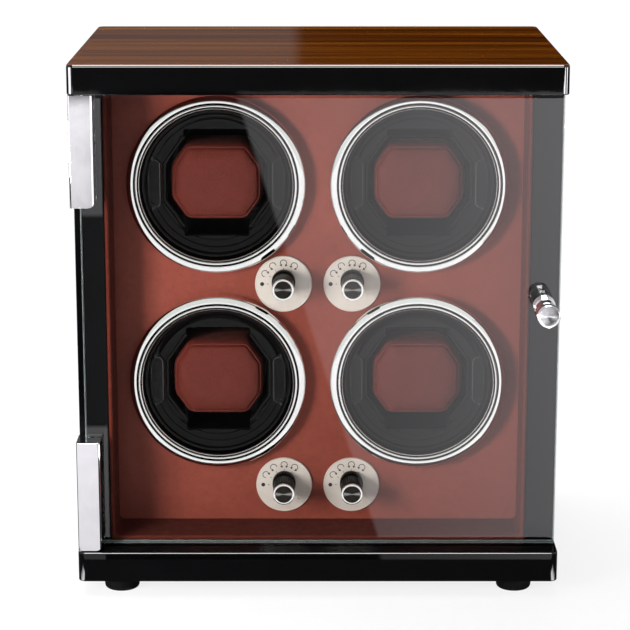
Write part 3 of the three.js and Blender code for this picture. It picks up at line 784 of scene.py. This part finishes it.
def cushion_mesh():
    me = inflate(cushion_form(), 0.0022, 4.0, 0.0016)
    # sewn panel seams: a narrow furrow round the crowned face and one round the side
    for v in me.vertices:
        x, y, z = v.co.x / MM, v.co.y / MM, v.co.z / MM
        d = depth_in(x, z, CUSHION)
        n = v.normal
        near = math.exp(-(((d - 3.4) / 0.55) ** 2)) if y < 64 else 0.0
        side = math.exp(-(((y - 78.0) / 0.8) ** 2))
        v.co -= n * (near * 0.75 + side * 0.5) * MM
    # keep the pad inside its place
    for v in me.vertices:
        x, z = v.co.x / MM, v.co.z / MM
        d = depth_in(x, z, CUSHION)
        if d < 0.15:
            w, sz, tx, h = CUSHION
            lean = math.hypot(w - tx, h - sz)
            nx, nz = (h - sz) / lean, (w - tx) / lean
            x = max(-w + 0.15, min(w - 0.15, x))
            z = max(-h + 0.15, min(h - 0.15, z))
            over = nx * abs(x) + nz * abs(z) - (nx * w + nz * sz - 0.15)
            if over > 0:
                x -= math.copysign(nx * over, x)
                z -= math.copysign(nz * over, z)
            v.co.x, v.co.z = x * MM, z * MM
        v.co.y = max(v.co.y, 50.3 * MM)
    return me


def eight_sided_path(size, inset, corner, steps=4):
    """Points round the eight-sided outline with small rounded corners."""
    pts = eight_sided(size, inset)
    out = []
    for i in range(8):
        p0, p1, p2 = Vector(pts[i - 1]), Vector(pts[i]), Vector(pts[(i + 1) % 8])
        a = p1 + (p0 - p1).normalized() * corner
        b = p1 + (p2 - p1).normalized() * corner
        for k in range(steps + 1):
            t = k / steps
            out.append(tuple((1 - t) ** 2 * a + 2 * t * (1 - t) * p1 + t * t * b))
    return out


def welt_mesh(surface):
    """A thin piped welt that follows the front seam."""
    from mathutils.bvhtree import BVHTree

    tree = BVHTree.FromPolygons([v.co for v in surface.vertices], [p.vertices[:] for p in surface.polygons])
    path = []
    for x, z in eight_sided_path(CUSHION, 3.4, 2.5, 6):
        hit = tree.ray_cast(Vector((x * MM, 30 * MM, z * MM)), Vector((0, 1, 0)))
        y = hit[0].y / MM if hit[0] else 55.0
        path.append(Vector((x, y, z)))
    n = len(path)
    bm = bmesh.new()
    rings = []
    for i in range(n):
        t = (path[(i + 1) % n] - path[i - 1]).normalized()
        up = Vector((0, 1, 0))
        side = t.cross(up).normalized()
        ring = []
        for k in range(8):
            a = 2 * math.pi * k / 8
            ring.append(bm.verts.new((path[i] + (side * math.cos(a) + up * math.sin(a)) * 0.62 - up * 0.05) * MM))
        rings.append(ring)
    for i in range(n):
        a, b = rings[i], rings[(i + 1) % n]
        for k in range(8):
            bm.faces.new((a[k], a[(k + 1) % 8], b[(k + 1) % 8], b[k]))
    bmesh.ops.recalc_face_normals(bm, faces=bm.faces)
    me = bpy.data.meshes.new("welt")
    bm.to_mesh(me)
    bm.free()
    me.shade_smooth()
    return me


bezel = bezel_mesh()
cup = cup_mesh()
pad = cushion_mesh()
welt = welt_mesh(pad)
pad.shade_smooth()

for i, (place, (side, rz, sz)) in enumerate(PLACES.items()):
    at = (side * ROTOR_X * MM, OY * MM, rz * MM)
    ring_ob = finish_object(f"bezel_trim_{place}", bezel.copy(), [ring_chrome, black_gloss], 42, at)
    add(ring_ob, "cabinet", "chrome", f"bezel_ring_{place}")
    cup_ob = finish_object(f"cup_body_{place}", cup.copy(), [black_gloss, clip_edge_painted_highlight], 28, at)
    add(cup_ob, f"rotor_{place}", "black_gloss_plastic", f"rotor_cup_{place}")
    me = pad.copy()
    turn = Matrix.Rotation((i % 2) * math.pi, 4, "Y")
    me.transform(turn)
    me.materials.clear()
    cushion = finish_object(f"cushion_pad_{place}", me, cushion_leather, 0, at)
    me.shade_smooth()
    add(cushion, f"rotor_{place}", "cushion_leather", f"watch_cushion_{place}")
    me = welt.copy()
    me.transform(turn)
    add(finish_object(f"cushion_welt_{place}", me, cushion_leather, 0, at), f"rotor_{place}", "cushion_leather")
    me.shade_smooth()

    paint(f"shaft_bush_{place}", bronze)
    paint(f"gear_motor_{place}", steel)
    paint(f"motor_pulley_{place}", plastic)
    paint(f"drive_belt_{place}", belt)


# ------------------------------------------------------------------ dials and selector knobs
def plate_mesh_object(name, at):
    """A thin disc with a rolled rim, drilled for the spindle above its middle."""
    bm = bmesh.new()
    section = [(0, 52.7), (16.0, 52.7), (16.25, 52.55), (16.25, 51.75), (16.12, 51.48), (15.85, 51.32), (15.6, 51.36), (15.4, 51.45), (15.2, 51.42), (0, 51.4)]
    lathe(bm, section, 96, (0, -PLATE_DROP), "Y")
    ob = mesh_object(name, bm, plate_metal, 35)
    bm = bmesh.new()
    stack(bm, [(arc(0, 0, 3.6, 0, 345, 23), 50), (arc(0, 0, 3.6, 0, 345, 23), 54)], "Y")
    boolean(ob, mesh_object("drill", bm, plate_metal, 0))
    ob.location = at
    return ob


def mark_mesh(bm, pts, y0=51.36, y1=51.46):
    a = [bm.verts.new((x * MM, y0 * MM, z * MM)) for x, z in pts]
    b = [bm.verts.new((x * MM, y1 * MM, z * MM)) for x, z in pts]
    bm.faces.new(a)
    bm.faces.new(list(reversed(b)))
    n = len(pts)
    for i in range(n):
        bm.faces.new((a[i], b[i], b[(i + 1) % n], a[(i + 1) % n]))


def dial_marks(name, at):
    """A plain dot at the first position, then four small turning arrows, with a tick at every position."""
    bm = bmesh.new()
    positions = [180, 150, 120, 90, 60]  # degrees from +X, seen from the front
    for k, deg in enumerate(positions):
        a = math.radians(deg)
        ux, uz = math.cos(a), math.sin(a)
        tx, tz = -uz, ux
        # tick
        pts = [(ux * r + tx * w, uz * r + tz * w - PLATE_DROP) for r, w in ((8.4, -0.13), (9.4, -0.13), (9.4, 0.13), (8.4, 0.13))]
        mark_mesh(bm, pts)
        cx, cz = ux * 12.2, uz * 12.2 - PLATE_DROP
        if k == 0:
            mark_mesh(bm, [(cx + 1.15 * math.cos(t * math.pi / 12), cz + 1.15 * math.sin(t * math.pi / 12)) for t in range(24)])
            continue
        # an arc round the outer side of its centre, open towards the knob
        r0, r1 = 1.62, 2.02
        sweep = 118
        outer = [(cx + r1 * math.cos(a + math.radians(s)), cz + r1 * math.sin(a + math.radians(s))) for s in range(-sweep, sweep + 1, 12)]
        inner = [(cx + r0 * math.cos(a + math.radians(s)), cz + r0 * math.sin(a + math.radians(s))) for s in range(sweep, -sweep - 1, -12)]
        mark_mesh(bm, outer + inner)
        ends = {1: (-1,), 2: (1,), 3: (-1, 1), 4: (-1, 1)}[k]
        for e in ends:
            s = a + math.radians(e * sweep)
            ex, ez = cx + 1.82 * math.cos(s), cz + 1.82 * math.sin(s)
            dx, dz = -math.sin(s) * e, math.cos(s) * e  # onward along the arc
            nx, nz = math.cos(s), math.sin(s)
            mark_mesh(bm, [(ex + nx * 0.85, ez + nz * 0.85), (ex + dx * 1.35, ez + dz * 1.35), (ex - nx * 0.85, ez - nz * 0.85)])
    return mesh_object(name, bm, ink, 0, at)


def knob_object(name, at):
    """Selector knob: ribbed skirt and barrel, bright rim and a turned face."""
    bm = bmesh.new()
    ribs = 32
    segs = ribs * 4

    def wave(i, r, h):
        phase = (i % 4)
        if 29.2 < h < 43.2:
            return r - (0.34 if phase in (0,) else 0.16 if phase in (1, 3) else 0.0)
        return r

    profile = [(0, 64), (2.8, 64), (2.8, 50.8), (6.3, 50.8), (6.65, 50.5), (6.7, 50.1), (6.7, 45.6), (6.6, 45.2), (6.3, 45.0), (6.05, 44.6)]
    profile += [(6.05, 43.6), (6.2, 43.1), (6.22, 40), (6.15, 33), (6.1, 29.4), (5.85, 29.0), (5.85, 28.4), (6.05, 28.1)]
    rim = [(6.22, 27.6), (6.2, 27.0), (6.0, 26.6), (5.6, 26.42), (5.2, 26.42), (4.95, 26.6), (4.85, 26.9)]
    face = [(4.8, 27.15), (4.6, 27.2), (2.5, 27.05), (0.6, 26.95), (0, 26.95)]
    full = profile + rim + face
    k0, k1 = len(profile) - 1, len(profile) + len(rim) - 1

    def index(k):
        return 1 if k0 <= k < k1 else 2 if k >= k1 else 0

    lathe(bm, full, segs, (0, 0), "Y", mat_index=index, wave=wave)
    return mesh_object(name, bm, [knob_black, ring_chrome, knob_face], 30, at)


for place, (side, rz, sz) in PLACES.items():
    at = (side * SWITCH_X * MM, OY * MM, sz * MM)
    add(plate_mesh_object(f"dial_disc_{place}", at), "cabinet", "dial_plate", f"dial_plate_{place}")
    add(dial_marks(f"dial_marks_{place}", at), "cabinet", "black_plastic")
    add(knob_object(f"selector_{place}_body", at), f"selector_{place}", "knob_black", f"selector_knob_{place}")
for row in ("upper", "lower"):
    paint(f"switch_board_{row}", pcb)


# ------------------------------------------------------------------ door
paint("door_glass", glass)
edge_break("door_glass", 0.35, 1)
for end in ("top", "bottom"):
    paint(f"hinge_clamp_{end}", clamp_metal)
    edge_break(f"hinge_clamp_{end}", 0.45, 2)
    paint(f"hinge_pin_{end}", steel)
paint("knob_screw", steel)

bm = bmesh.new()
side_profile = [(0, 3), (2, 3), (2, 13.7), (5.9, 13.7), (6.15, 13.45), (6.2, 12.8), (6.2, 11.2), (6.0, 10.9), (5.75, 10.7), (5.75, 10.1), (6.0, 9.9), (6.15, 9.6)]
side_profile += [(6.15, 8.3), (6.0, 8.0), (5.7, 7.8), (5.7, 7.2), (5.95, 7.0), (6.1, 6.7), (6.1, 5.5), (5.95, 5.2), (5.6, 5.0), (5.6, 4.4)]
side_profile += [(5.75, 4.1), (5.7, 1.0), (5.45, -2.4), (5.35, -4.6), (5.6, -5.4), (6.1, -6.0), (6.25, -6.5), (6.25, -7.6), (6.1, -7.9), (5.75, -8.1), (5.75, -8.7), (6.1, -8.9), (6.35, -9.2)]
side_profile += [(6.4, -9.6), (6.4, -14.2), (6.3, -14.7), (6.0, -14.95), (5.7, -15.0)]
end_profile = [(5.4, -14.85), (3.0, -14.55), (0.5, -14.25), (0, -14.2)]
k0 = len(side_profile) - 1
lathe(bm, side_profile + end_profile, 96, (0, 0), "Y", mat_index=lambda k: 1 if k >= k0 else 0)
knob = mesh_object("door_pull", bm, [chrome, knob_end], 30, (125 * MM, OY * MM, 165 * MM))
add(knob, "door", "chrome", "door_knob")


# ------------------------------------------------------------------ floor, light and camera
FLOOR_OUT, FLOOR_PANE, FLOOR_IN = 0.085, 0.015, 1.25  # how bright the floor looks in mirrors: outside, in the pane, and inside the door
WORLD_IN = 0.95
WORLD_FILL = 0.11
FLOOR_BOUNCE = 0.45


def seen_inside(nt):
    """1 for a ray that has come through the door's pane, 0 for any other."""
    lp = nt.nodes.new("ShaderNodeLightPath")
    m = nt.nodes.new("ShaderNodeMath")
    m.operation = "GREATER_THAN"
    nt.links.new(lp.outputs["Transparent Depth"], m.inputs[0])
    m.inputs[1].default_value = 0.5
    return lp, m.outputs[0]


# The floor is matte and pale. In mirrors it shows as a dim studio floor with soft panes of light, which lie where
# the flat door and its clamps mirror them. PANE is the door's plane and MIRROR the far point its image is seen from.
PANE, MIRROR = -0.0735, (-0.0016, 1.1405, 0.4498)
n = Nodes("floor")
speck = n.noise(40, 3, 0.5)
tone = n.mix(n.range(speck, 0.0, 1.0, 0.3, 0.7), (0.93, 0.93, 0.93), (0.95, 0.95, 0.95))
matte = n.principled(**{"Base Color": tone, "Roughness": 0.9, "Specular IOR Level": 0.1})
white = n.node("ShaderNodeEmission")
white.inputs["Strength"].default_value = 1.02
paper = n.node("ShaderNodeMixShader")
spread = n.node("ShaderNodeVectorMath", operation="LENGTH")
n.link(n.coord, spread.inputs[0])
n.link(n.range(spread.outputs["Value"], 0.80, 1.0, 0.12, 0.50), paper.inputs[0])
n.link(matte.outputs[0], paper.inputs[1])
n.link(white.outputs[0], paper.inputs[2])
lp, inside = seen_inside(n.nt)
sep = n.node("ShaderNodeSeparateXYZ")
n.link(n.coord, sep.inputs[0])
fx, fy = sep.outputs["X"], sep.outputs["Y"]
share = n.math("DIVIDE", MIRROR[1] - PANE, n.math("SUBTRACT", MIRROR[1], fy))
px = n.math("ADD", n.math("MULTIPLY", n.math("SUBTRACT", fx, MIRROR[0]), share), MIRROR[0])
pz = n.math("MULTIPLY", n.math("SUBTRACT", 1.0, share), MIRROR[2])
lean = n.math("ADD", n.math("MULTIPLY_ADD", pz, 0.3118, px), 0.0444 - 0.2817 * 0.3118)
strip = n.math("MULTIPLY", n.math("LESS_THAN", fy, -0.1478), n.math("GREATER_THAN", fy, -2.075))
sheen = n.math("MULTIPLY", n.range(lean, 0.0, 1.0, -0.0012, 0.0012), n.range(lean, 0.62, 1.50, 0.0, 0.165))
sheen = n.math("ADD", n.math("MULTIPLY", sheen, strip), n.math("MULTIPLY", strip, FLOOR_PANE))
sheen = n.math("ADD", sheen, n.math("MULTIPLY", n.math("SUBTRACT", 1.0, strip), FLOOR_OUT))
high = n.math("MULTIPLY", n.range(pz, 0.0, 1.0, 0.214, 0.2165), n.range(pz, 0.80, 1.02, 0.2200, 0.2835))
low = n.math("MULTIPLY", n.range(pz, 1.0, 0.0, 0.0935, 0.096), n.range(pz, 0.78, 0.96, 0.0260, 0.0900))
sheen = n.math("ADD", sheen, n.math("MULTIPLY", n.math("MULTIPLY", strip, n.range(px, 1.0, 0.0, -0.1184, -0.1178)), n.math("MAXIMUM", high, low)))
# bright cards far out on either side, and short ones beside the plinth, put a highlight on the rounded corners
away = n.math("ABSOLUTE", fx)
far = n.math("MULTIPLY", n.math("GREATER_THAN", away, 0.95), n.math("LESS_THAN", away, 3.2))
far = n.math("MULTIPLY", far, n.math("MULTIPLY", n.math("LESS_THAN", fy, -0.35), n.math("GREATER_THAN", fy, -2.0)))
near = n.math("MULTIPLY", n.range(away, 0.0, 1.0, 0.1395, 0.1425), n.range(away, 1.0, 0.0, 0.152, 0.170))
near = n.math("MULTIPLY", near, n.math("MULTIPLY", n.range(fy, 1.0, 0.0, -0.096, -0.090), n.range(fy, 0.0, 1.0, -0.128, -0.120)))
sheen = n.math("ADD", sheen, n.math("ADD", n.math("MULTIPLY", far, 30.0), n.math("MULTIPLY", near, 16.0)))
dim = n.node("ShaderNodeEmission")
dim.inputs["Color"].default_value = (0.985, 0.965, 1.0, 1)
n.link(n.math("ADD", n.math("MULTIPLY", sheen, n.math("SUBTRACT", 1.0, inside)), n.math("MULTIPLY", inside, FLOOR_IN)), dim.inputs["Strength"])
grey = n.node("ShaderNodeBsdfDiffuse")
grey.inputs["Color"].default_value = (FLOOR_BOUNCE, FLOOR_BOUNCE, FLOOR_BOUNCE, 1)
shown = n.node("ShaderNodeMixShader")
n.link(lp.outputs["Is Camera Ray"], shown.inputs[0])
n.link(grey.outputs[0], shown.inputs[1])
n.link(paper.outputs[0], shown.inputs[2])
fm = n.node("ShaderNodeMixShader")
n.link(lp.outputs["Is Glossy Ray"], fm.inputs[0])
n.link(shown.outputs[0], fm.inputs[1])
n.link(dim.outputs[0], fm.inputs[2])
geo = n.node("ShaderNodeNewGeometry")
under = n.node("ShaderNodeMixShader")
n.link(geo.outputs["Backfacing"], under.inputs[0])
n.link(fm.outputs[0], under.inputs[1])
n.link(n.node("ShaderNodeBsdfTransparent").outputs[0], under.inputs[2])
floor_mat = n.finish(under.outputs[0])
bm = bmesh.new()
bm.faces.new([bm.verts.new(c) for c in ((-9, -9, 0), (9, -9, 0), (9, 9, 0), (-9, 9, 0))])
floor = mesh_object("floor", bm, floor_mat, 0)

world = bpy.data.worlds.new("studio")
scene.world = world
world.use_nodes = True
nt = world.node_tree
nt.nodes.clear()


def background(strength):
    bg = nt.nodes.new("ShaderNodeBackground")
    bg.inputs["Color"].default_value = (1, 1, 1, 1)
    if isinstance(strength, float):
        bg.inputs["Strength"].default_value = strength
    else:
        nt.links.new(strength, bg.inputs["Strength"])
    return bg.outputs[0]


def blend(fac, a, b):
    m = nt.nodes.new("ShaderNodeMixShader")
    nt.links.new(fac, m.inputs[0])
    nt.links.new(a, m.inputs[1])
    nt.links.new(b, m.inputs[2])
    return m.outputs[0]


def wmath(op, a, b=0.0, clamp=False):
    m = nt.nodes.new("ShaderNodeMath")
    m.operation = op
    m.use_clamp = clamp
    for k, v in enumerate((a, b)):
        if isinstance(v, bpy.types.NodeSocket):
            nt.links.new(v, m.inputs[k])
        else:
            m.inputs[k].default_value = v
    return m.outputs[0]


def wrange(v, a, b, lo, hi):
    m = nt.nodes.new("ShaderNodeMapRange")
    m.interpolation_type = "SMOOTHSTEP"
    for key, val in (("From Min", a), ("From Max", b), ("To Min", lo), ("To Max", hi)):
        m.inputs[key].default_value = val
    nt.links.new(v, m.inputs["Value"])
    return m.outputs[0]


# In mirrors the studio is bright at its sides and overhead, and dark at the back wall, where a grey flat stands on the left.
lp, inside = seen_inside(nt)
way = nt.nodes.new("ShaderNodeTexCoord").outputs["Generated"]
wsep = nt.nodes.new("ShaderNodeSeparateXYZ")
nt.links.new(way, wsep.inputs[0])
wx, wy, wz = wsep.outputs
flat = wrange(wmath("DIVIDE", wx, wmath("MAXIMUM", wy, 0.05)), -0.012, -0.004, 0.080, 0.0015)
side = wrange(wmath("ABSOLUTE", wx), 0.30, 0.62, 0.0, 0.85)
above = wrange(wz, 0.42, 0.70, 0.0, 0.80)
front = wmath("MULTIPLY", wrange(wy, -0.30, 0.0, 1.0, 0.0), 0.10)
glow = wmath("MAXIMUM", wmath("MAXIMUM", side, above), wmath("MAXIMUM", front, wmath("MULTIPLY", flat, wrange(wy, 0.0, 0.3, 0.0, 1.0))))
strip_light = wmath("MULTIPLY", wmath("MULTIPLY", wrange(wy, -0.93, -0.90, 0.0, 1.0), wrange(wy, -0.14, -0.08, 1.0, 0.0)), wrange(wz, 0.34, 0.38, 0.0, 26.0))
strip_light = wmath("MULTIPLY", strip_light, wrange(wmath("ABSOLUTE", wx), 0.20, 0.26, 1.0, 0.0))
glow = wmath("MAXIMUM", glow, strip_light)
glow = wmath("ADD", wmath("MULTIPLY", glow, wmath("SUBTRACT", 1.0, inside)), wmath("MULTIPLY", inside, wrange(wz, -0.04, 0.0, 0.16, WORLD_IN)))
wo = nt.nodes.new("ShaderNodeOutputWorld")
lit = blend(lp.outputs["Is Glossy Ray"], background(WORLD_FILL), background(glow))
nt.links.new(blend(lp.outputs["Is Camera Ray"], lit, background(1.0)), wo.inputs["Surface"])


def area(name, location, target, size, size_y, power, colour=(1, 1, 1), glossy=True):
    data = bpy.data.lights.new(name, "AREA")
    data.shape = "RECTANGLE"
    data.size, data.size_y = size, size_y
    data.energy = power
    data.color = colour
    ob = bpy.data.objects.new(name, data)
    scene.collection.objects.link(ob)
    ob.location = location
    ob.rotation_euler = (Vector(target) - Vector(location)).to_track_quat("-Z", "Y").to_euler()
    ob.visible_glossy = glossy
    return ob


area("key_left", (-0.42, -0.52, 0.22), (-0.01, -0.03, 0.14), 0.17, 0.24, 4.7, glossy=False)
area("overhead", (-0.25, 0.42, 1.35), (0, 0.1, 0.3), 1.5, 0.8, 27, glossy=False)
area("side_right", (1.5, -0.9, 0.6), (0, 0, 0.15), 0.7, 1.2, 2, glossy=False)
area("front_fill", (-0.1, -2.2, 0.9), (0, 0, 0.12), 1.4, 0.8, 5, glossy=False)

cam_data = bpy.data.cameras.new("camera")
cam_data.sensor_width = 36
cam_data.lens = 128.7
cam_data.clip_start = 0.01
cam_data.clip_end = 100
cam = bpy.data.objects.new("camera", cam_data)
scene.collection.objects.link(cam)
cam.location = (-0.0016, OY * MM - 1.2, 0.300 + 0.1498)
cam.rotation_euler = (math.pi / 2 - 0.23493, 0, 0)
scene.camera = cam
